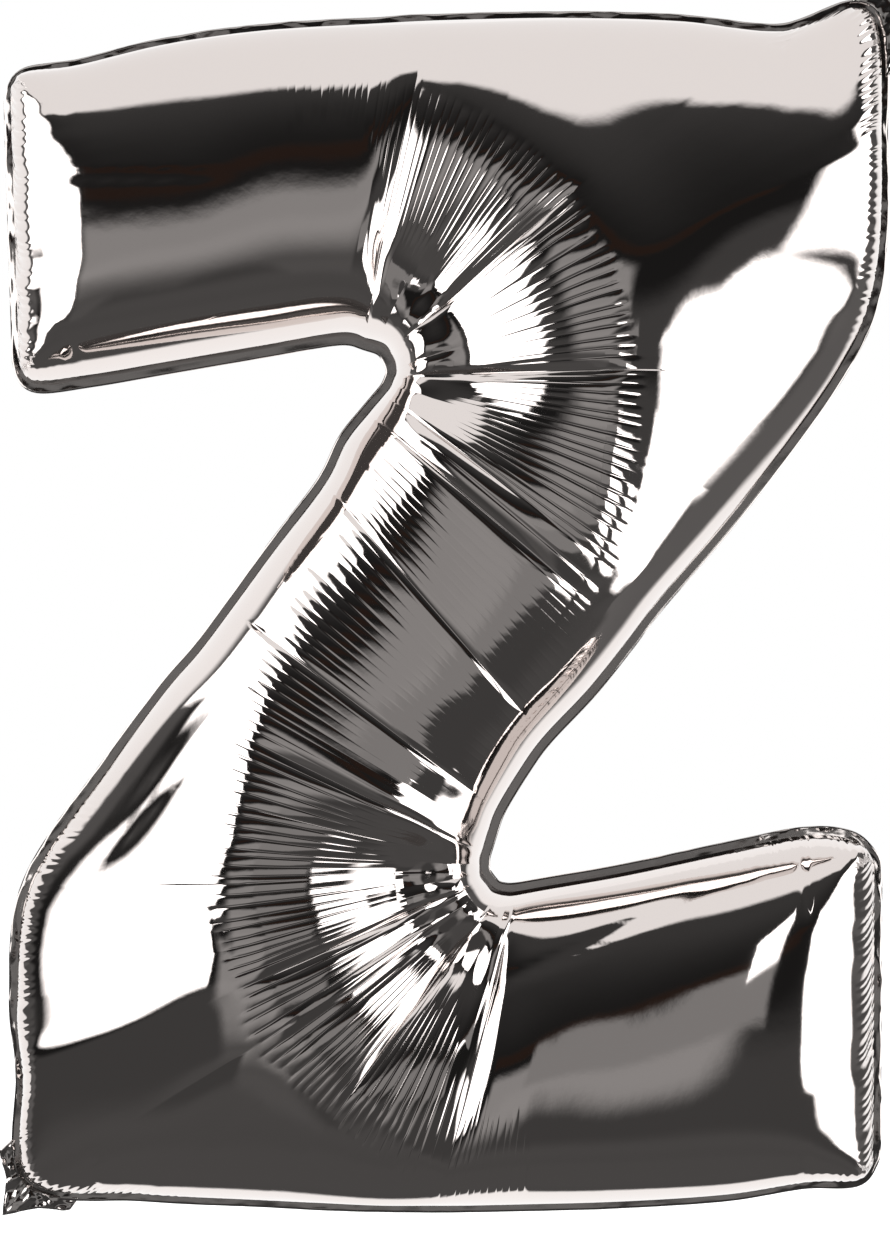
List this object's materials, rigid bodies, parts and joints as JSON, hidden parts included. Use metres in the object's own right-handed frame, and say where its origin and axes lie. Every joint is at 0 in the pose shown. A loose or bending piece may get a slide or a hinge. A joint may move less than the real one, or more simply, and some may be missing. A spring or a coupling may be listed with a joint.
{
  "type": "letter foil balloon",
  "caption": "Inflated foil balloon in the shape of the letter Z, two mirror film panels sealed along a flat seam flange with corner tabs and a filling tail.",
  "frame": {"origin": "middle of the letter on the seam plane, where the air round it holds it", "axes": "+X to the letter's right and +Z to its top as it is read from the front; the front faces -Y and the seam lies at Y = 0"},
  "size_m": [0.6906, 0.258, 0.8928],
  "materials": {
    "mirror_film": "mirror silver metallised film, pleated",
    "flange_film": "heat sealed double film, crumpled",
    "valve_film": "flat silvered film tail"
  },
  "bodies": {
    "root": {"front_panel": "mirror_film", "back_panel": "mirror_film", "seam_flange": "flange_film", "corner_tab_top_right": "flange_film", "corner_tab_bottom_left": "flange_film", "filling_valve": "valve_film"}
  },
  "joints": []
}
